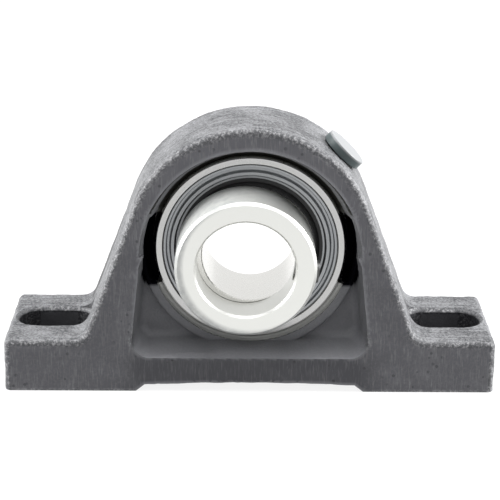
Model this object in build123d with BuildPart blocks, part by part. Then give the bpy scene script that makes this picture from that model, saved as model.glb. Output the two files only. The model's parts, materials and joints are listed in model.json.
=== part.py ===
from build123d import *
import os
from math import cos, radians, sin, sqrt, tan

# A pillow block bearing: a cast housing with a spherical seat, a self-aligning
# ball bearing insert in it, and an eccentric locking collar on the inner ring.
# Millimetres. X runs along the base, the front (collar side) faces -Y, +Z is up,
# and the origin is in the middle of the machined underside of the base.

os.makedirs("parts", exist_ok=True)

# Shaft and insert
shaft_diameter = 35.0
insert_diameter = 72.0
outer_ring_width = 19.0
inner_ring_rear = 9.5
inner_ring_front = 16.4
inner_shoulder_diameter = 46.8
outer_shoulder_diameter = 60.0
ball_diameter = 11.112
ball_count = 9
pitch_diameter = 53.5
raceway_radius = 5.72
race_clearance = 0.02
ring_face_chamfer = 0.55
ring_face_land_inner = 32.3
bore_chamfer = 0.7

# Cage
cage_sheet = 0.8
cage_inner_diameter = 49.4
cage_outer_diameter = 57.6
pocket_clearance = 0.1
rivet_diameter = 1.5
rivet_head_diameter = 2.8
rivet_head_height = 0.6

# Seals, one on each side of the balls
seal_seat_radius = 31.7
seal_seat_depth = 2.3
seal_fit = 0.02
shield_sheet = 0.6
shield_rim_width = 0.75
shield_rim_height = 1.85
shield_bead_radius = 28.45
shield_bead_width = 1.1
shield_bead_height = 1.2
shield_bead_slope = 0.7
shield_valley_width = 0.8
shield_inner_radius = 26.5
lip_body_thickness = 1.2
lip_edge_width = 0.5
lip_neck_radius = 24.8
lip_reach = 1.9
lip_clearance = 0.05

# Eccentric locking collar
cam_eccentricity = 0.95
collar_angle = 206.0
cam_radius = 21.2
cam_length = 6.5
cam_fit = 0.06
collar_diameter = 50.6
collar_bore_diameter = 35.5
collar_gap = 0.7
collar_width = 18.7
collar_end_clearance = 0.3
collar_front_chamfer = 1.0
collar_rear_chamfer = 0.5
drift_hole_diameter = 6.0
drift_hole_depth = 4.5
drift_hole_angle = 250.0

# Set screw in the collar
screw_diameter = 8.0
screw_length = 8.0
screw_fit = 0.05
screw_angle = 354.0
screw_stand_out = 0.9
screw_socket = 4.0
screw_socket_depth = 2.8
screw_point_chamfer = 1.2

# Housing
bore_height = 50.8
base_length = 180.0
base_depth = 48.0
foot_height = 19.5
arch_radius = 45.4
arch_rise = 1.8
flank_angle = 20.75
face_draft = 4.7
flank_fillet = 6.0
outer_round = 2.4
seat_clearance = 0.04
seat_zone = 8.0
seat_mouth_radius = 36.8
mouth_flare = 0.34
boss_radius = 40.3
boss_width = 21.0
boss_round = 1.2
web_thickness = 14.0
pocket_bottom_height = 15.1
pocket_half_width = 41.4
pocket_top_half_width = 38.0
pocket_corner = 4.5
pocket_draft = 8.0
pocket_floor_round = 3.0
slot_spacing = 146.0
slot_length = 28.0
slot_width = 16.0
slot_rim = 1.4
loading_slot_radius = 38.8
loading_slot_width = 27.6
relief_length = 83.6
relief_height = 2.5
relief_crown = 0.9
relief_slope = 3.2

# Lubrication hole and its plug
plug_angle = 46.0
plug_head_diameter = 16.3
plug_head_thickness = 3.5
plug_head_round = 0.4
plug_shank_diameter = 8.0
plug_shank_length = 6.0
plug_fit = 0.05
plug_seat_gap = 0.2
tapped_hole_depth = 7.0
oil_way_diameter = 3.0
lube_groove_width = 2.4
lube_groove_depth = 0.6
ring_oil_hole_diameter = 1.6

ball_radius = ball_diameter / 2
pitch_radius = pitch_diameter / 2
insert_radius = insert_diameter / 2
half_width = outer_ring_width / 2
shoulder_radius = inner_shoulder_diameter / 2
bore_radius = shaft_diameter / 2
bore_axis = Axis((0, 0, bore_height), (0, -1, 0))
sides = {"front": 1, "rear": -1}


def section(side=1):
    """Half section of the bearing: x runs along the bore to one side, y is the radius."""
    return Plane(origin=(0, 0, bore_height), x_dir=(0, -side, 0), z_dir=(-side, 0, 0))


def cross_plane(axial, side=1, centre=(0.0, 0.0)):
    """Plane across the bore at a distance from the middle, facing one side."""
    origin = (centre[0], -side * axial, bore_height + centre[1])
    return Plane(origin=origin, x_dir=(side, 0, 0), z_dir=(0, -side, 0))


def radial_plane(angle, radius, axial=0.0, centre=(0.0, 0.0)):
    """Plane square to a radius, facing away from the bore."""
    across, up = cos(radians(angle)), sin(radians(angle))
    origin = (centre[0] + radius * across, -axial, bore_height + centre[1] + radius * up)
    return Plane(origin=origin, x_dir=(0, -1, 0), z_dir=(across, 0, up))


def zone_radius(radius, axial):
    """Radius of a circle on a sphere at a distance from its middle plane."""
    return sqrt(radius**2 - axial**2)


def finish(piece, name):
    """Name a finished piece and write it out."""
    piece.part.label = name
    export_step(piece.part, f"parts/{name}.step")


# Housing: one casting, its front and back faces drafted towards the top
seat_radius = insert_radius + seat_clearance
arch_centre = bore_height + arch_rise
arch_top = arch_centre + arch_radius
crown_half_depth = base_depth / 2 - arch_top * tan(radians(face_draft))
tangent_x = arch_radius * cos(radians(flank_angle))
tangent_z = arch_centre + arch_radius * sin(radians(flank_angle))
toe_x = tangent_x + (tangent_z - foot_height) * tan(radians(flank_angle))
relief_half = relief_length / 2
plug_across, plug_up = cos(radians(plug_angle)), sin(radians(plug_angle))
shoulder_distance = arch_rise * plug_up + sqrt(arch_radius**2 - (arch_rise * plug_across) ** 2)

with BuildPart() as housing:
    with BuildSketch(Plane.XZ) as front_view:
        with BuildLine():
            ThreePointArc((-tangent_x, tangent_z), (0, arch_top), (tangent_x, tangent_z))
            Polyline(
                (tangent_x, tangent_z),
                (toe_x, foot_height),
                (base_length / 2, foot_height),
                (base_length / 2, 0),
                (-base_length / 2, 0),
                (-base_length / 2, foot_height),
                (-toe_x, foot_height),
                (-tangent_x, tangent_z),
            )
        make_face()
        toes = front_view.vertices().filter_by(lambda v: abs(abs(v.X) - toe_x) < toe_x / 100)
        fillet(toes, radius=flank_fillet)
    extrude(amount=base_depth / 2, both=True)
    with BuildSketch(Plane.YZ):
        with BuildLine():
            Polyline(
                (-base_depth / 2, 0),
                (base_depth / 2, 0),
                (crown_half_depth, arch_top),
                (-crown_half_depth, arch_top),
                close=True,
            )
        make_face()
    extrude(amount=base_length, both=True, mode=Mode.INTERSECT)
    faces_out = housing.faces().filter_by(lambda f: abs(f.normal_at().Y) > 0.9)
    rims = faces_out.edges().filter_by(lambda e: e.center().Z > 0)
    ends = housing.faces().filter_by(Axis.X).edges().filter_by(Axis.Y)
    fillet(rims + ends.filter_by(lambda e: e.center().Z > 0), radius=outer_round)

    # Pockets under the bearing, front and back, leave a web in the middle
    for side in sides.values():
        web_face = Plane(
            origin=(0, -side * web_thickness / 2, 0), x_dir=(side, 0, 0), z_dir=(0, -side, 0)
        )
        with BuildSketch(web_face) as pocket:
            with BuildLine():
                Polyline(
                    (-pocket_half_width, pocket_bottom_height),
                    (pocket_half_width, pocket_bottom_height),
                    (pocket_top_half_width, bore_height),
                    (-pocket_top_half_width, bore_height),
                    close=True,
                )
            make_face()
            fillet(pocket.vertices().group_by(Axis.Z)[0], radius=pocket_corner)
        extrude(amount=base_depth / 2, taper=-pocket_draft, mode=Mode.SUBTRACT)
        floors = housing.faces().filter_by(Axis.Y)
        floor = floors.filter_by(lambda f: abs(f.center().Y + side * web_thickness / 2) < 0.01)
        lower = floor.edges().filter_by(lambda e: e.center().Z < bore_height - 1)
        fillet(lower, radius=pocket_floor_round)

    # Boss round the bore, standing out of both pockets
    with BuildSketch(section()) as boss:
        Rectangle(boss_width, boss_radius, align=(Align.CENTER, Align.MIN))
        fillet(boss.vertices().group_by(Axis.Z)[-1], radius=boss_round)
    revolve(axis=bore_axis)

    # Bore: spherical seat with chamfered mouths
    seat_edge = zone_radius(seat_radius, seat_zone)
    mouth = seat_zone + seat_mouth_radius - seat_edge
    flare_end = base_depth / 2
    with BuildSketch(section()):
        with BuildLine():
            ThreePointArc((-seat_zone, seat_edge), (0, seat_radius), (seat_zone, seat_edge))
            Polyline(
                (seat_zone, seat_edge),
                (mouth, seat_mouth_radius),
                (flare_end, seat_mouth_radius),
                (flare_end, 0),
                (-flare_end, 0),
                (-flare_end, seat_mouth_radius),
                (-mouth, seat_mouth_radius),
                (-seat_zone, seat_edge),
            )
        make_face()
    revolve(axis=bore_axis, mode=Mode.SUBTRACT)

    # Over the top the cast mouth flares out to both faces
    for side in sides.values():
        level = Plane(origin=(0, 0, bore_height), x_dir=(0, -side, 0), z_dir=(0, 0, side))
        with BuildSketch(level):
            with BuildLine():
                Polyline(
                    (mouth, seat_mouth_radius),
                    (flare_end, seat_mouth_radius + mouth_flare * (flare_end - mouth)),
                    (flare_end, 0),
                    (mouth, 0),
                    close=True,
                )
            make_face()
        revolve(axis=bore_axis, revolution_arc=180, mode=Mode.SUBTRACT)

    # Loading slots let the insert in edgewise from the front
    with BuildSketch(cross_plane(0)):
        Circle(loading_slot_radius)
        Rectangle(2 * loading_slot_radius, loading_slot_width, mode=Mode.INTERSECT)
    extrude(amount=base_depth / 2, mode=Mode.SUBTRACT)

    # Bolt slots in the feet, with bevelled rims that also notch the flanks
    slot_places = Locations((-slot_spacing / 2, 0), (slot_spacing / 2, 0))
    with BuildSketch(Plane.XY), slot_places:
        SlotOverall(slot_length, slot_width)
    extrude(amount=foot_height, mode=Mode.SUBTRACT)
    with BuildSketch(Plane.XY.offset(foot_height)), slot_places:
        SlotOverall(slot_length + 2 * slot_rim, slot_width + 2 * slot_rim)
    extrude(amount=-slot_rim, taper=45, mode=Mode.SUBTRACT)
    with BuildSketch(Plane.XY.offset(foot_height)), slot_places:
        SlotOverall(slot_length + 2 * slot_rim, slot_width + 2 * slot_rim)
    extrude(amount=arch_radius, mode=Mode.SUBTRACT)

    # Relief under the middle of the base, between the two machined pads
    with BuildSketch(Plane.XZ):
        with BuildLine():
            ThreePointArc(
                (-relief_half + relief_slope, relief_height),
                (0, relief_height + relief_crown),
                (relief_half - relief_slope, relief_height),
            )
            Polyline(
                (relief_half - relief_slope, relief_height),
                (relief_half, 0),
                (-relief_half, 0),
                (-relief_half + relief_slope, relief_height),
            )
        make_face()
    extrude(amount=base_depth / 2, both=True, mode=Mode.SUBTRACT)

    # Tapped hole for the plug, and the oil way from it to the seat
    with BuildSketch(radial_plane(plug_angle, arch_radius + plug_head_thickness)):
        Circle(plug_shank_diameter / 2 + plug_fit)
    hole_end = shoulder_distance - tapped_hole_depth
    extrude(amount=hole_end - arch_radius - plug_head_thickness, mode=Mode.SUBTRACT)
    with BuildSketch(radial_plane(plug_angle, hole_end)):
        Circle(oil_way_diameter / 2)
    extrude(amount=insert_radius - lube_groove_depth - hole_end, mode=Mode.SUBTRACT)
finish(housing, "housing")

# Outer ring: spherical outside, ball race inside, oil groove and oil hole
outer_race_centre = pitch_radius + ball_radius + race_clearance - raceway_radius
outer_shoulder = outer_shoulder_diameter / 2
seal_floor = half_width - seal_seat_depth
race_edge = zone_radius(raceway_radius, outer_shoulder - outer_race_centre)
ring_edge = half_width - ring_face_chamfer
ring_edge_radius = zone_radius(insert_radius, ring_edge)
face_chamfer = ring_face_land_inner - seal_seat_radius

with BuildPart() as outer_ring:
    with BuildSketch(section()):
        with BuildLine():
            ThreePointArc((-ring_edge, ring_edge_radius), (0, insert_radius), (ring_edge, ring_edge_radius))
            Polyline(
                (ring_edge, ring_edge_radius),
                (half_width, ring_edge_radius - ring_face_chamfer),
                (half_width, ring_face_land_inner),
                (half_width - face_chamfer, seal_seat_radius),
                (seal_floor, seal_seat_radius),
                (seal_floor, outer_shoulder),
                (race_edge, outer_shoulder),
            )
            ThreePointArc(
                (race_edge, outer_shoulder),
                (0, outer_race_centre + raceway_radius),
                (-race_edge, outer_shoulder),
            )
            Polyline(
                (-race_edge, outer_shoulder),
                (-seal_floor, outer_shoulder),
                (-seal_floor, seal_seat_radius),
                (-half_width + face_chamfer, seal_seat_radius),
                (-half_width, ring_face_land_inner),
                (-half_width, ring_edge_radius - ring_face_chamfer),
                (-ring_edge, ring_edge_radius),
            )
        make_face()
    revolve(axis=bore_axis)
    with BuildSketch(section()):
        with Locations((0, insert_radius)):
            Rectangle(lube_groove_width, 2 * lube_groove_depth)
    revolve(axis=bore_axis, mode=Mode.SUBTRACT)
    groove_end = radial_plane(plug_angle, insert_radius).origin
    shoulder_end = radial_plane(plug_angle, outer_shoulder, -(race_edge + seal_floor) / 2).origin
    oil_way = groove_end - shoulder_end
    with BuildSketch(Plane(origin=groove_end, z_dir=oil_way)):
        Circle(ring_oil_hole_diameter / 2)
    extrude(amount=-oil_way.length - ring_oil_hole_diameter, mode=Mode.SUBTRACT)
finish(outer_ring, "outer_ring")

# Inner ring: ball race outside, extended to the front with an eccentric end
inner_race_centre = pitch_radius - ball_radius - race_clearance + raceway_radius
inner_race_edge = zone_radius(raceway_radius, inner_race_centre - shoulder_radius)
cam_start = inner_ring_front - cam_length
lean = (cos(radians(collar_angle)), sin(radians(collar_angle)))
cam_centre = (cam_eccentricity * lean[0], cam_eccentricity * lean[1])
collar_centre = (2 * cam_centre[0], 2 * cam_centre[1])

with BuildPart() as inner_ring:
    with BuildSketch(section()):
        with BuildLine():
            Polyline(
                (inner_race_edge, shoulder_radius),
                (cam_start, shoulder_radius),
                (cam_start, bore_radius),
                (-inner_ring_rear + bore_chamfer, bore_radius),
                (-inner_ring_rear, bore_radius + bore_chamfer),
                (-inner_ring_rear, shoulder_radius - bore_chamfer),
                (-inner_ring_rear + bore_chamfer, shoulder_radius),
                (-inner_race_edge, shoulder_radius),
            )
            ThreePointArc(
                (-inner_race_edge, shoulder_radius),
                (0, inner_race_centre - raceway_radius),
                (inner_race_edge, shoulder_radius),
            )
        make_face()
    revolve(axis=bore_axis)
    with BuildSketch(cross_plane(cam_start, centre=cam_centre)):
        Circle(cam_radius)
    extrude(amount=cam_length)
    with BuildSketch(cross_plane(cam_start)):
        Circle(bore_radius)
    extrude(amount=cam_length, mode=Mode.SUBTRACT)
    front_end = inner_ring.faces().sort_by(Axis.Y)[0]
    chamfer(front_end.edges(), length=bore_chamfer / 2)
finish(inner_ring, "inner_ring")

# Balls
for ball_number in range(ball_count):
    ball_angle = 90 + ball_number * 360 / ball_count
    with BuildPart(radial_plane(ball_angle, pitch_radius)) as ball:
        Sphere(ball_radius)
    finish(ball, f"ball_{ball_number + 1}")

# Cage: two pressed halves with cups round the balls, riveted between them
rivet_start = 90 + 180 / ball_count
cup_radius = ball_radius + pocket_clearance

for name, side in sides.items():
    with BuildPart(cross_plane(0, side)) as cage_half:
        with BuildSketch(cross_plane(0, side)):
            Circle(cage_outer_diameter / 2)
        extrude(amount=cage_sheet)
        with PolarLocations(pitch_radius, ball_count, start_angle=90):
            Sphere(cup_radius + cage_sheet)
        with BuildSketch(cross_plane(0, side)):
            Circle(cage_outer_diameter / 2)
            Circle(cage_inner_diameter / 2, mode=Mode.SUBTRACT)
        extrude(amount=cup_radius + cage_sheet, mode=Mode.INTERSECT)
        with PolarLocations(pitch_radius, ball_count, start_angle=90):
            Sphere(cup_radius, mode=Mode.SUBTRACT)
        with BuildSketch(cross_plane(0, side)):
            with PolarLocations(pitch_radius, ball_count, start_angle=rivet_start):
                Circle(rivet_diameter / 2)
        extrude(amount=cage_sheet, mode=Mode.SUBTRACT)
    finish(cage_half, f"{name}_cage_half")

with BuildPart() as cage_rivets:
    with BuildSketch(cross_plane(0)):
        with PolarLocations(pitch_radius, ball_count, start_angle=rivet_start):
            Circle(rivet_diameter / 2)
    extrude(amount=cage_sheet, both=True)
    for side in sides.values():
        with BuildSketch(cross_plane(cage_sheet, side)):
            with PolarLocations(pitch_radius, ball_count, start_angle=rivet_start):
                Circle(rivet_head_diameter / 2)
        extrude(amount=rivet_head_height)
finish(cage_rivets, "cage_rivets")

# Seals: a pressed steel shield in the outer ring carries a rubber lip
shield_back = seal_floor + seal_fit
shield_front = shield_back + shield_sheet
rim_radius = seal_seat_radius - seal_fit
bead_in = shield_bead_radius - shield_bead_width / 2
bead_out = shield_bead_radius + shield_bead_width / 2
valley_radius = bead_out + shield_bead_slope + shield_valley_width
lip_radius = shoulder_radius + lip_clearance
lip_front = shield_back + lip_reach

for name, side in sides.items():
    with BuildPart() as seal_shield:
        with BuildSketch(section(side)):
            with BuildLine():
                Polyline(
                    (shield_back, rim_radius),
                    (shield_back + shield_rim_height, rim_radius),
                    (shield_back + shield_rim_height, rim_radius - shield_rim_width),
                    (shield_front, valley_radius),
                    (shield_front, bead_out + shield_bead_slope),
                    (shield_front + shield_bead_height, bead_out),
                    (shield_front + shield_bead_height, bead_in),
                    (shield_front, bead_in - shield_bead_slope),
                    (shield_front, shield_inner_radius),
                    (shield_back, shield_inner_radius),
                    (shield_back, bead_in - shield_bead_slope),
                    (shield_back + shield_bead_height, bead_in),
                    (shield_back + shield_bead_height, bead_out),
                    (shield_back, bead_out + shield_bead_slope),
                    close=True,
                )
            make_face()
        revolve(axis=bore_axis)
    finish(seal_shield, f"{name}_seal_shield")

    with BuildPart() as seal_lip:
        with BuildSketch(section(side)):
            with BuildLine():
                Polyline(
                    (shield_back, shield_inner_radius),
                    (shield_back + lip_body_thickness, shield_inner_radius),
                    (shield_back + lip_body_thickness, lip_neck_radius + lip_edge_width),
                    (shield_back + shield_sheet, lip_neck_radius),
                    (lip_front, lip_radius + lip_edge_width),
                    (lip_front, lip_radius),
                    (lip_front - lip_edge_width, lip_radius),
                    (shield_back, lip_neck_radius - lip_edge_width),
                    close=True,
                )
            make_face()
        revolve(axis=bore_axis)
    finish(seal_lip, f"{name}_seal_lip")

# Locking collar: its recess fits the eccentric end of the inner ring
collar_radius = collar_diameter / 2
collar_bore_radius = collar_bore_diameter / 2
collar_rear = cam_start + collar_gap
collar_front = collar_rear + collar_width
recess_end = inner_ring_front + collar_end_clearance
screw_axial = (recess_end + collar_front) / 2

with BuildPart() as locking_collar:
    with BuildSketch(cross_plane(collar_rear, centre=collar_centre)):
        Circle(collar_radius)
    extrude(amount=collar_width)
    rear_rim, front_rim = locking_collar.edges().filter_by(GeomType.CIRCLE).sort_by(Axis.Y)[::-1]
    chamfer(front_rim, length=collar_front_chamfer)
    chamfer(rear_rim, length=collar_rear_chamfer)
    with BuildSketch(cross_plane(collar_rear, centre=collar_centre)):
        Circle(collar_bore_radius)
    extrude(amount=collar_width, mode=Mode.SUBTRACT)
    bore_rim = locking_collar.edges().filter_by(GeomType.CIRCLE).sort_by(Axis.Y)
    chamfer(bore_rim.group_by(Axis.Y)[0].sort_by(SortBy.LENGTH)[0], length=bore_chamfer)
    with BuildSketch(cross_plane(collar_rear, centre=cam_centre)):
        Circle(cam_radius + cam_fit)
    extrude(amount=recess_end - collar_rear, mode=Mode.SUBTRACT)
    with BuildSketch(radial_plane(screw_angle, collar_radius, screw_axial, collar_centre)):
        Circle(screw_diameter / 2 + screw_fit)
    extrude(amount=-collar_radius + bore_radius / 2, mode=Mode.SUBTRACT)
    with BuildSketch(radial_plane(drift_hole_angle, collar_radius, screw_axial, collar_centre)):
        Circle(drift_hole_diameter / 2)
    extrude(amount=-drift_hole_depth, mode=Mode.SUBTRACT)
finish(locking_collar, "locking_collar")

# Set screw with a hexagon socket, standing a little out of the collar
screw_top = collar_radius + screw_stand_out

with BuildPart() as set_screw:
    with BuildSketch(radial_plane(screw_angle, screw_top, screw_axial, collar_centre)):
        Circle(screw_diameter / 2)
    extrude(amount=-screw_length)
    point_rim = set_screw.edges().filter_by(GeomType.CIRCLE).sort_by(Axis.X)[0]
    chamfer(point_rim, length=screw_point_chamfer)
    with BuildSketch(radial_plane(screw_angle, screw_top, screw_axial, collar_centre)):
        RegularPolygon(screw_socket / 2, 6, major_radius=False)
    extrude(amount=-screw_socket_depth, mode=Mode.SUBTRACT)
finish(set_screw, "collar_set_screw")

# Plug in the lubrication hole: a plain disc head on a short shank
head_underside = shoulder_distance + plug_seat_gap

with BuildPart() as grease_plug:
    with BuildSketch(radial_plane(plug_angle, head_underside)):
        Circle(plug_head_diameter / 2)
    extrude(amount=plug_head_thickness)
    head_rims = grease_plug.edges().filter_by(GeomType.CIRCLE)
    fillet(head_rims, radius=plug_head_round)
    with BuildSketch(radial_plane(plug_angle, head_underside)):
        Circle(plug_shank_diameter / 2)
    extrude(amount=-plug_shank_length)
finish(grease_plug, "grease_plug")
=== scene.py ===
import json
from math import cos, hypot, pi, radians, sin

import bmesh
import bpy
from mathutils import Matrix, Vector, noise


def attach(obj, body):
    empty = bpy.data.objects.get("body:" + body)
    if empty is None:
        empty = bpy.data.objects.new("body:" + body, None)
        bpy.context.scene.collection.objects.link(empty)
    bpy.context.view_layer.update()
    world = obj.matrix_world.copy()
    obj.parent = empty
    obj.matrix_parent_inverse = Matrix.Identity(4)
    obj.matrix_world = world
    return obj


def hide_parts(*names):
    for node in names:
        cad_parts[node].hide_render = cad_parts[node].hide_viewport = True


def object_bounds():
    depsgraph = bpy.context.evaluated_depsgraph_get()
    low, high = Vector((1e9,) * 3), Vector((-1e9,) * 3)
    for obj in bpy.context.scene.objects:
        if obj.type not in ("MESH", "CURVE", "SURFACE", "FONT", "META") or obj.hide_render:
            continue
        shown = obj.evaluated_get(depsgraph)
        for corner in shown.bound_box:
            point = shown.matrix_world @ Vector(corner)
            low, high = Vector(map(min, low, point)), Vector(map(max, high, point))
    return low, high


# A cast pillow block with a ball bearing insert and a locking collar, dressed for a studio picture
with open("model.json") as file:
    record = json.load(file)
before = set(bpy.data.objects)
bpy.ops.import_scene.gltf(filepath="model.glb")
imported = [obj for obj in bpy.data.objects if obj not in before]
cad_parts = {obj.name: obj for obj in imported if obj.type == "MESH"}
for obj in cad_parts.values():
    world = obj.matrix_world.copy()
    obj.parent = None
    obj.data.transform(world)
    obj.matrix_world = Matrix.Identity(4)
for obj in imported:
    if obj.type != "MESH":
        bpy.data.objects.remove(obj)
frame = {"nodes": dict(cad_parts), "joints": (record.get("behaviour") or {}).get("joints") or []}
cadLow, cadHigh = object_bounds()
nodes = frame["nodes"]
pins = {joint["name"]: joint for joint in frame["joints"]}
boreHeight = pins["shaft_spin"]["pos_m"][2]
print("frame loaded with", len(nodes), "nodes")


# Small helpers for materials

def newMaterial(name, color, roughness, metallic=0.0):
    material = bpy.data.materials.new(name)
    material.use_nodes = True
    shader = material.node_tree.nodes["Principled BSDF"]
    shader.inputs["Base Color"].default_value = (*color, 1)
    shader.inputs["Roughness"].default_value = roughness
    shader.inputs["Metallic"].default_value = metallic
    return material, material.node_tree, shader


def objectPlace(tree, stretch=(1, 1, 1), turn=(0, 0, 0), centre=(0, 0, 0)):
    coords = tree.nodes.new("ShaderNodeTexCoord")
    mapping = tree.nodes.new("ShaderNodeMapping")
    mapping.inputs["Scale"].default_value = stretch
    mapping.inputs["Rotation"].default_value = turn
    mapping.inputs["Location"].default_value = centre
    tree.links.new(coords.outputs["Object"], mapping.inputs["Vector"])
    return mapping.outputs["Vector"]


def noiseOf(tree, place, scale, detail=3.0, roughness=0.55):
    texture = tree.nodes.new("ShaderNodeTexNoise")
    texture.inputs["Scale"].default_value = scale
    texture.inputs["Detail"].default_value = detail
    texture.inputs["Roughness"].default_value = roughness
    tree.links.new(place, texture.inputs["Vector"])
    return texture.outputs["Fac"]


def cellsOf(tree, place, scale):
    texture = tree.nodes.new("ShaderNodeTexVoronoi")
    texture.inputs["Scale"].default_value = scale
    tree.links.new(place, texture.inputs["Vector"])
    return texture.outputs["Distance"]


def remap(tree, value, fromLow, fromHigh, toLow=0.0, toHigh=1.0):
    node = tree.nodes.new("ShaderNodeMapRange")
    sockets = ("From Min", "From Max", "To Min", "To Max")
    for socket, number in zip(sockets, (fromLow, fromHigh, toLow, toHigh)):
        node.inputs[socket].default_value = number
    tree.links.new(value, node.inputs["Value"])
    return node.outputs["Result"]


def calculate(tree, operation, first, second):
    node = tree.nodes.new("ShaderNodeMath")
    node.operation = operation
    for socket, value in zip(node.inputs, (first, second)):
        if isinstance(value, (int, float)):
            socket.default_value = value
        else:
            tree.links.new(value, socket)
    return node.outputs["Value"]


def blendColors(tree, factor, first, second):
    node = tree.nodes.new("ShaderNodeMix")
    node.data_type = "RGBA"
    tree.links.new(factor, node.inputs["Factor"])
    for name, value in (("A", first), ("B", second)):
        socket = [s for s in node.inputs if s.name == name and s.type == "RGBA"][0]
        if isinstance(value, tuple):
            socket.default_value = (*value, 1)
        else:
            tree.links.new(value, socket)
    return [s for s in node.outputs if s.type == "RGBA"][0]


def addBump(tree, shader, height, distance, strength=1.0):
    bump = tree.nodes.new("ShaderNodeBump")
    bump.inputs["Distance"].default_value = distance
    bump.inputs["Strength"].default_value = strength
    tree.links.new(height, bump.inputs["Height"])
    tree.links.new(bump.outputs["Normal"], shader.inputs["Normal"])


def fromBore(tree):
    # Distance from the bore's axis, and the split place it was worked out from
    split = tree.nodes.new("ShaderNodeSeparateXYZ")
    tree.links.new(objectPlace(tree, centre=(0, 0, -boreHeight)), split.inputs["Vector"])
    across = calculate(tree, "MULTIPLY", split.outputs["X"], split.outputs["X"])
    upward = calculate(tree, "MULTIPLY", split.outputs["Z"], split.outputs["Z"])
    return calculate(tree, "SQRT", calculate(tree, "ADD", across, upward), 0.0), split


def turningLines(tree, pitch):
    # Rings left by a lathe: noise along the distance from the axis
    radius, split = fromBore(tree)
    join = tree.nodes.new("ShaderNodeCombineXYZ")
    tree.links.new(radius, join.inputs["X"])
    tree.links.new(split.outputs["Y"], join.inputs["Y"])
    return noiseOf(tree, join.outputs["Vector"], 1 / pitch, 2.0)


# Cast iron, as it comes from the mould: smooth darker grey on the flat faces, partly painted shade, open
# grain elsewhere, partly painted light on the sides, tops and hollows
castIronLook = {
    "flat": (0.096, 0.096, 0.107), "scratch": (0.24, 0.24, 0.25), "hollow": (0.182, 0.184, 0.200),
    "grainDark": (0.022, 0.023, 0.026), "grainLight": (0.228, 0.231, 0.240), "crust": (0.035, 0.036, 0.040),
    "crustLight": (0.30, 0.30, 0.31), "shade": (0.004, 0.004, 0.006), "spot": (0.02, 0.02, 0.024),
    "roughness": 0.5, "grainScale": 1250, "patchScale": 95, "streakStretch": (90, 1500, 90),
    "crustScale": 900, "spotScale": 300, "bumpDepth": 0.00026,
    "scratchStretch": (1900, 1900, 95), "slantStretch": (1500, 1500, 110),
}


def vertexValue(tree, name):
    node = tree.nodes.new("ShaderNodeAttribute")
    node.attribute_name = name
    return node.outputs["Fac"]


def castIron():
    look = castIronLook
    material, tree, shader = newMaterial("castIron", look["flat"], look["roughness"])
    place = objectPlace(tree)
    grain = noiseOf(tree, place, look["grainScale"], 4.0, 0.7)
    patches = noiseOf(tree, place, look["patchScale"], 3.0)
    streaks = noiseOf(tree, objectPlace(tree, look["streakStretch"]), 1.0, 3.0)
    crustNoise = noiseOf(tree, place, look["crustScale"], 5.0, 0.75)
    upright = noiseOf(tree, objectPlace(tree, look["scratchStretch"], (0, radians(7), 0)), 1.0, 2.0)
    slanted = noiseOf(tree, objectPlace(tree, look["slantStretch"], (0, radians(-38), 0)), 1.0, 2.0)
    spots = remap(tree, cellsOf(tree, place, look["spotScale"]), 0.10, 0.22)

    # Grain of the hollows, then of the sides and tops, set lighter than the flat faces as painted light for
    # the light they catch
    patchShift = remap(tree, patches, 0.35, 0.65, -0.22, 0.22)
    grainAmount = calculate(tree, "ADD", remap(tree, grain, 0.36, 0.66), patchShift)
    color = blendColors(tree, remap(tree, grain, 0.35, 0.7, 0.1, 0.6), look["hollow"], look["scratch"])
    streaked = calculate(tree, "ADD", grainAmount, remap(tree, streaks, 0.35, 0.68, -0.25, 0.3))
    outer = blendColors(tree, streaked, look["grainDark"], look["grainLight"])
    color = blendColors(tree, vertexValue(tree, "litSide"), color, outer)

    # Flat faces: darker grey, partly painted shade, with file marks, upright on one side and slanted on the
    # other
    uprightMarks = remap(tree, upright, 0.52, 0.78, 0.0, 0.55)
    marks = calculate(tree, "MAXIMUM", uprightMarks, remap(tree, slanted, 0.6, 0.8, 0.0, 0.7))
    flatTone = calculate(tree, "ADD", marks, remap(tree, patches, 0.35, 0.65, -0.06, 0.1))
    flatMarksAndShade = blendColors(tree, calculate(tree, "MAXIMUM", flatTone, 0.0), look["flat"], look["scratch"])
    spotted = calculate(tree, "MAXIMUM", spots, remap(tree, patches, 0.5, 0.56, 1.0, 0.35))
    flatMarksAndShade = blendColors(tree, spotted, look["spot"], flatMarksAndShade)
    color = blendColors(tree, vertexValue(tree, "flatFace"), color, flatMarksAndShade)

    # Crusted rim between the flat faces and the sides, and painted shade in the slots, on the rear of the
    # lower left flank and low under the bore
    crust = blendColors(tree, remap(tree, crustNoise, 0.46, 0.62), look["crust"], look["crustLight"])
    rimBreaks = remap(tree, crustNoise, 0.3, 0.5, 0.55, 1.0)
    rimAmount = calculate(tree, "MULTIPLY", vertexValue(tree, "rimBand"), rimBreaks)
    color = blendColors(tree, rimAmount, color, crust)
    shade = vertexValue(tree, "slotShade")
    color = blendColors(tree, shade, color, look["shade"])
    tree.links.new(color, shader.inputs["Base Color"])
    tree.links.new(remap(tree, shade, 0.0, 1.0, 0.5, 0.0), shader.inputs["Specular IOR Level"])

    crustHeight = calculate(tree, "MULTIPLY", crustNoise, 0.3)
    height = calculate(tree, "ADD", calculate(tree, "MULTIPLY", grain, 0.7), crustHeight)
    smoothing = remap(tree, vertexValue(tree, "flatFace"), 0.0, 1.0, 1.0, 0.22)
    height = calculate(tree, "MULTIPLY", height, smoothing)
    addBump(tree, shader, height, look["bumpDepth"])
    return material


machinedIronLook = {
    "color": (0.55, 0.55, 0.54), "roofShade": (0.055, 0.055, 0.048), "roughness": 0.33, "linePitch": 0.00022,
    "depth": 0.00001, "roofStart": 0.004, "roofEnd": 0.016,
}


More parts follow.
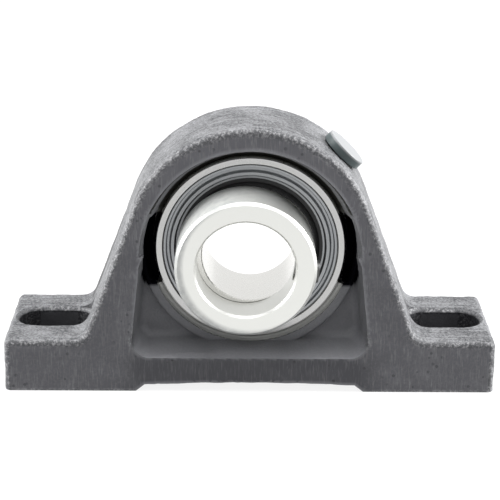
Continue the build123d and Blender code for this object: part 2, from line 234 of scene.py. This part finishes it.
def machinedIron():
    look = machinedIronLook
    material, tree, shader = newMaterial("machinedIron", look["color"], look["roughness"], 1.0)
    lines = turningLines(tree, look["linePitch"])
    darker = tuple(0.75 * c for c in look["color"])
    lighter = tuple(1.2 * c for c in look["color"])
    shade = blendColors(tree, lines, darker, lighter)
    # The machined seat's colour goes dark towards its top, a painted shade and dark reflection where it faces
    # down above the bore
    split = fromBore(tree)[1]
    roofShade = remap(tree, split.outputs["Z"], look["roofStart"], look["roofEnd"])
    tree.links.new(blendColors(tree, roofShade, shade, look["roofShade"]), shader.inputs["Base Color"])
    addBump(tree, shader, lines, look["depth"])
    return material


# Metals of the insert, each with its own tone, gloss and line pitch
steelLooks = {
    "ringSteel": {"color": (0.46, 0.46, 0.455), "roughness": 0.30,
        "linePitch": 0.0003, "depth": 0.000012, "spread": 0.14},
    "boreSteel": {"color": (0.76, 0.755, 0.73), "roughness": 0.24,
        "linePitch": 0.0005, "depth": 0.000001, "spread": 0.03},
    "shieldSteel": {"color": (0.33, 0.34, 0.35), "roughness": 0.46,
        "linePitch": 0.0006, "depth": 0.00001, "spread": 0.34},
    "cageSteel": {"color": (0.45, 0.44, 0.42), "roughness": 0.38,
        "linePitch": 0.0006, "depth": 0.00002, "spread": 0.14},
    "ballSteel": {"color": (0.82, 0.82, 0.83), "roughness": 0.08,
        "linePitch": 0.0009, "depth": 0.000002, "spread": 0.03},
}


def turnedSteel(name):
    look = steelLooks[name]
    material, tree, shader = newMaterial(name, look["color"], look["roughness"], 1.0)
    lines = turningLines(tree, look["linePitch"])
    mottle = noiseOf(tree, objectPlace(tree), 900, 3.0)
    amount = calculate(tree, "MULTIPLY", calculate(tree, "ADD", lines, mottle), 0.5)
    darker = tuple((1 - look["spread"]) * c for c in look["color"])
    lighter = tuple(min(1.0, (1 + look["spread"]) * c) for c in look["color"])
    tree.links.new(blendColors(tree, amount, darker, lighter), shader.inputs["Base Color"])
    gloss = remap(tree, mottle, 0.3, 0.7, look["roughness"] - 0.04, look["roughness"] + 0.06)
    tree.links.new(gloss, shader.inputs["Roughness"])
    addBump(tree, shader, lines, look["depth"])
    return material


# Plated collar: pale and even on its faces, cloudy round the outside
collarLook = {
    "face": (0.69, 0.695, 0.668), "cloud": (0.46, 0.475, 0.47), "roughness": 0.36,
    "cloudScale": 420, "grainScale": 2400, "depth": 0.000006, "sideStart": 0.0236, "sideMetal": 0.35,
}


def platedSteel():
    look = collarLook
    material, tree, shader = newMaterial("platedSteel", look["face"], look["roughness"], 1.0)
    place = objectPlace(tree)
    clouds = noiseOf(tree, place, look["cloudScale"], 5.0, 0.7)
    grain = noiseOf(tree, place, look["grainScale"], 2.0)
    side = remap(tree, fromBore(tree)[0], look["sideStart"], look["sideStart"] + 0.0016)
    amount = calculate(tree, "MULTIPLY", side, remap(tree, clouds, 0.3, 0.7, 0.25, 1.0))
    color = blendColors(tree, amount, look["face"], look["cloud"])
    tree.links.new(color, shader.inputs["Base Color"])
    tree.links.new(remap(tree, side, 0.0, 1.0, 1.0, look["sideMetal"]), shader.inputs["Metallic"])
    addBump(tree, shader, grain, look["depth"])
    return material


plainLooks = {
    "lipRubber": {"color": (0.016, 0.016, 0.017), "roughness": 0.6, "metallic": 0.0,
        "grain": 900, "depth": 0.00003},
    "blackSteel": {"color": (0.10, 0.10, 0.10), "roughness": 0.4, "metallic": 0.9,
        "grain": 1500, "depth": 0.00002},
}


def plainFinish(name):
    look = plainLooks[name]
    material, tree, shader = newMaterial(name, look["color"], look["roughness"], look["metallic"])
    grain = noiseOf(tree, objectPlace(tree), look["grain"], 3.0)
    darker = tuple(0.88 * c for c in look["color"])
    lighter = tuple(min(1.0, 1.08 * c) for c in look["color"])
    tree.links.new(blendColors(tree, grain, darker, lighter), shader.inputs["Base Color"])
    addBump(tree, shader, grain, look["depth"])
    return material


# The plug: pale on its outer face, dark and slightly green round its side
plugLook = {
    "face": (0.250, 0.257, 0.264), "side": (0.056, 0.075, 0.077), "roughness": 0.42,
    "grain": 700, "depth": 0.000015, "faceStart": 0.0010, "faceEnd": 0.0005,
}


def plugPaint():
    look = plugLook
    material, tree, shader = newMaterial("plugGrey", look["face"], look["roughness"])
    axis = Vector(pins["plug_pull"]["axis"])
    top = max(v.co.dot(axis) for v in nodes["grease_plug"].data.vertices)
    place = objectPlace(tree)
    along = tree.nodes.new("ShaderNodeVectorMath")
    along.operation = "DOT_PRODUCT"
    tree.links.new(place, along.inputs[0])
    along.inputs[1].default_value = axis
    onFace = remap(tree, along.outputs["Value"], top - look["faceStart"], top - look["faceEnd"])
    tree.links.new(blendColors(tree, onFace, look["side"], look["face"]), shader.inputs["Base Color"])
    addBump(tree, shader, noiseOf(tree, place, look["grain"], 3.0), look["depth"])
    return material


looks = {name: turnedSteel(name) for name in steelLooks}
looks.update({name: plainFinish(name) for name in plainLooks})
looks["castIron"] = castIron()
looks["machinedIron"] = machinedIron()
looks["platedSteel"] = platedSteel()
looks["plugGrey"] = plugPaint()
print("materials made:", ", ".join(sorted(looks)))

# Which finish each solid takes
finishes = {
    "outer_ring": "ringSteel", "inner_ring": "boreSteel", "locking_collar": "platedSteel",
    "front_seal_shield": "shieldSteel", "rear_seal_shield": "shieldSteel",
    "front_seal_lip": "lipRubber", "rear_seal_lip": "lipRubber",
    "front_cage_half": "cageSteel", "rear_cage_half": "cageSteel", "cage_rivets": "cageSteel",
    "collar_set_screw": "blackSteel", "grease_plug": "plugGrey",
}
for name, node in nodes.items():
    finish = "ballSteel" if name.startswith("ball_") else finishes.get(name, "castIron")
    node.data.materials.clear()
    node.data.materials.append(looks[finish])
print("solids dressed")

# The casting: the solid's own surface, cut finer and roughened like sand-cast iron
casting = {
    "longestEdge": 0.0021, "passes": 7, "sharpAngle": radians(38),
    "lumpHeight": 0.00020, "lumpScale": 170, "grainHeight": 0.00011, "grainScale": 700,
    "mouthRadius": 0.0371, "mouthReach": 0.01, "facesBore": 0.3, "padHeight": 0.00005,
    "flatNormal": 0.985, "rimNormal": 0.35, "archRise": 0.0526, "innerReach": 0.0432,
    "slotHalf": 0.0145, "slotInner": 0.0358, "slotOuter": 0.0413, "slotFront": -0.0125,
    "flatDepth": 0.024, "flatLean": 0.0822, "flatBand": (-0.0014, -0.0007),
    "boltInner": 0.0575, "boltOuter": 0.0885, "boltHalf": 0.0088, "boltTop": 0.0185, "boltShade": 0.72,
    "rearShade": 0.6, "rearDepth": (0.004, 0.011), "rearHeight": (-0.062, -0.040),
    "baseShade": 0.33, "baseHeight": (-0.017, -0.011), "baseHalf": (-0.050, -0.040),
    "edgeInner": 0.0378, "edgeOuter": 0.0412, "edgeFront": -0.0155, "edgeLow": 0.0155,
    "edgeNormal": (0.25, 0.93), "slotSide": 0.028, "slotBack": 0.0005, "tilted": 0.5, "upright": 0.6,
}


def finerCopy(node, longest, passes):
    mesh = bmesh.new()
    mesh.from_mesh(node.data)
    bmesh.ops.remove_doubles(mesh, verts=mesh.verts, dist=0.000002)
    for turn in range(passes):
        tooLong = [e for e in mesh.edges if e.calc_length() > longest]
        if not tooLong:
            break
        bmesh.ops.subdivide_edges(mesh, edges=tooLong, cuts=1)
        bmesh.ops.triangulate(mesh, faces=[f for f in mesh.faces if len(f.verts) > 3])
    mesh.normal_update()
    return mesh


def towardsBore(place, normal):
    radius = hypot(place.x, place.z - boreHeight)
    return -(normal.x * place.x + normal.z * (place.z - boreHeight)) / max(radius, 0.001)


def isMachined(face):
    centre = face.calc_center_median()
    radius = hypot(centre.x, centre.z - boreHeight)
    inMouth = radius < casting["mouthRadius"] and abs(centre.y) < casting["mouthReach"]
    if inMouth and towardsBore(centre, face.normal) > casting["facesBore"]:
        return True
    low, high = casting["edgeNormal"]
    atEdge = casting["edgeInner"] < radius < casting["edgeOuter"] and centre.y < casting["edgeFront"]
    if atEdge and centre.z - boreHeight > casting["edgeLow"]:
        return low < -face.normal.y < high and towardsBore(centre, face.normal) > 0
    return centre.z < casting["padHeight"]


def fade(value, low, high):
    return min(1.0, max(0.0, (value - low) / (high - low)))


def surfaceValues(place, normal):
    # How far a spot belongs to the flat faces, partly painted shade, the sides and tops, partly painted
    # light, the rims, and the places of painted shade
    made = casting
    across = hypot(place.x, max(place.z - made["archRise"], 0.0))
    outside = fade(across, made["innerReach"] - 0.0012, made["innerReach"])
    depth = abs(place.y) - (made["flatDepth"] - made["flatLean"] * place.z)
    facing = abs(normal.y)
    # Flat front faces take the darker grey, partly painted shade; the sides and tops take the lighter grain,
    # partly painted light
    flat = fade(facing, made["flatNormal"] - 0.012, made["flatNormal"]) * fade(depth, *made["flatBand"])
    rim = fade(facing, made["rimNormal"], 0.7) * (1 - fade(facing, 0.985, 0.998)) * outside
    side = outside * (1 - fade(facing, 0.45, 0.9)) * fade(normal.z, -0.5, -0.1)
    radius = hypot(place.x, place.z - boreHeight)
    # Painted shade in the loading slots beside the ring and on the bolt slot walls
    inSlot = abs(place.z - boreHeight) < made["slotHalf"] and abs(place.x) > made["slotSide"]
    inSlot = inSlot and made["slotInner"] < radius < made["slotOuter"]
    slot = 1.0 if inSlot and made["slotFront"] < place.y < made["slotBack"] else 0.0
    inBoltSlot = made["boltInner"] < abs(place.x) < made["boltOuter"] and abs(place.y) < made["boltHalf"]
    if inBoltSlot and 0.001 < place.z < made["boltTop"] and abs(normal.z) < made["tilted"]:
        slot = made["boltShade"]
    # Painted shade on the rear of the left flank, darker towards the bottom
    if place.x < 0 and abs(normal.z) < made["upright"]:
        rear = fade(place.y, *made["rearDepth"]) * fade(-place.z, *made["rearHeight"]) * outside
        slot = max(slot, made["rearShade"] * rear * (1 - flat))
    # Painted shade low in the middle of the flat faces, under the bore
    underBore = fade(-place.z, *made["baseHeight"]) * fade(-abs(place.x), *made["baseHalf"])
    slot = max(slot, made["baseShade"] * underBore * flat)
    return {"flatFace": flat, "litSide": side, "rimBand": rim, "slotShade": slot}


def roughCasting():
    made = casting
    mesh = finerCopy(nodes["housing"], made["longestEdge"], made["passes"])
    names = ("flatFace", "litSide", "rimBand", "slotShade")
    layers = {name: mesh.verts.layers.float.new(name) for name in names}
    machined = {f for f in mesh.faces if isMachined(f)}
    for face in mesh.faces:
        face.smooth = True
        face.material_index = 1 if face in machined else 0
    for edge in mesh.edges:
        edge.smooth = len(edge.link_faces) == 2 and edge.calc_face_angle(0) < made["sharpAngle"]
    moves = []
    for vert in mesh.verts:
        values = surfaceValues(vert.co, vert.normal)
        for name, value in values.items():
            vert[layers[name]] = value
        if any(f in machined for f in vert.link_faces):
            continue
        lump = noise.noise(vert.co * made["lumpScale"]) * made["lumpHeight"]
        grain = noise.noise(vert.co * made["grainScale"]) * made["grainHeight"]
        moves.append((vert, vert.normal * (lump + grain * (1 - 0.75 * values["flatFace"]))))
    for vert, move in moves:
        moved = zip(vert.co + move, cadLow, cadHigh)
        vert.co = Vector([min(high, max(low, value)) for value, low, high in moved])
    data = bpy.data.meshes.new("roughHousing")
    mesh.to_mesh(data)
    print("casting has", len(mesh.faces), "triangles")
    mesh.free()
    data.materials.append(looks["castIron"])
    data.materials.append(looks["machinedIron"])
    piece = bpy.data.objects.new("roughHousing", data)
    bpy.context.scene.collection.objects.link(piece)
    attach(piece, "housing_body")
    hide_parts("housing")
    return piece


roughCasting()

# Studio: pale floor, white surroundings for the eye and for gloss, a wide lamp above and one at each side
studio = {
    "floorSize": 6.0, "floorColor": (0.16, 0.16, 0.16), "floorLift": 0.86, "floorDrop": 0.0002,
    "ambient": 0.48,
    "lamps": {
        "topLamp": {"power": 13.0, "size": 0.8, "place": (0.0, 0.02, 1.1)},
        "leftLamp": {"power": 15.0, "size": 0.5, "place": (-0.95, 0.05, 0.36)},
        "rightLamp": {"power": 19.0, "size": 0.5, "place": (0.95, 0.05, 0.36)},
    },
}


def whiteRays(tree):
    path = tree.nodes.new("ShaderNodeLightPath")
    seen = calculate(tree, "MAXIMUM", path.outputs["Is Camera Ray"], path.outputs["Is Glossy Ray"])
    return calculate(tree, "MAXIMUM", seen, path.outputs["Is Transmission Ray"])


def studioFloor():
    mesh = bmesh.new()
    bmesh.ops.create_grid(mesh, x_segments=1, y_segments=1, size=studio["floorSize"] / 2)
    bmesh.ops.translate(mesh, verts=mesh.verts, vec=(0, 0, -studio["floorDrop"]))
    data = bpy.data.meshes.new("studioFloor")
    mesh.to_mesh(data)
    mesh.free()
    material = bpy.data.materials.new("floorPaper")
    material.use_nodes = True
    tree = material.node_tree
    tree.nodes.clear()
    paper = tree.nodes.new("ShaderNodeBsdfDiffuse")
    paper.inputs["Color"].default_value = (*studio["floorColor"], 1)
    lift = tree.nodes.new("ShaderNodeEmission")
    tree.links.new(calculate(tree, "MULTIPLY", whiteRays(tree), studio["floorLift"]), lift.inputs["Strength"])
    both = tree.nodes.new("ShaderNodeAddShader")
    out = tree.nodes.new("ShaderNodeOutputMaterial")
    tree.links.new(paper.outputs["BSDF"], both.inputs[0])
    tree.links.new(lift.outputs["Emission"], both.inputs[1])
    tree.links.new(both.outputs["Shader"], out.inputs["Surface"])
    data.materials.append(material)
    floor = bpy.data.objects.new("studioFloor", data)
    bpy.context.scene.collection.objects.link(floor)


def studioLight():
    world = bpy.data.worlds.new("studioWorld")
    bpy.context.scene.world = world
    world.use_nodes = True
    tree = world.node_tree
    background = tree.nodes["Background"]
    background.inputs["Color"].default_value = (1, 1, 1, 1)
    strength = remap(tree, whiteRays(tree), 0.0, 1.0, studio["ambient"], 1.0)
    tree.links.new(strength, background.inputs["Strength"])
    for name, made in studio["lamps"].items():
        lamp = bpy.data.lights.new(name, "AREA")
        lamp.shape = "SQUARE"
        lamp.size = made["size"]
        lamp.energy = made["power"]
        holder = bpy.data.objects.new(name, lamp)
        holder.location = made["place"]
        aim = Vector((0, 0, boreHeight)) - Vector(made["place"])
        holder.rotation_euler = aim.to_track_quat("-Z", "Y").to_euler()
        bpy.context.scene.collection.objects.link(holder)


studioFloor()
studioLight()
print("studio set")

# The camera stands where the photographer stood
shot = {
    "target": (-0.000036, 0.0, 0.0465), "distance": 0.5511, "elevation": radians(21.07),
    "azimuth": radians(-0.455), "roll": radians(0.468), "lens": 106.64, "sensor": 36.0,
}


def placeCamera():
    camera = bpy.data.cameras.new("camera")
    camera.lens = shot["lens"]
    camera.sensor_width = shot["sensor"]
    camera.clip_start, camera.clip_end = 0.01, 20
    back = Vector((
        sin(shot["azimuth"]) * cos(shot["elevation"]),
        -cos(shot["azimuth"]) * cos(shot["elevation"]),
        sin(shot["elevation"]),
    ))
    level = Vector((0, 0, 1)).cross(back).normalized()
    upright = back.cross(level)
    right = level * cos(shot["roll"]) + upright * sin(shot["roll"])
    upward = back.cross(right)
    place = Matrix((right, upward, back)).transposed().to_4x4()
    place.translation = Vector(shot["target"]) + back * shot["distance"]
    holder = bpy.data.objects.new("camera", camera)
    holder.matrix_world = place
    bpy.context.scene.collection.objects.link(holder)
    bpy.context.scene.camera = holder


placeCamera()
bpy.context.scene.view_settings.view_transform = "Standard"
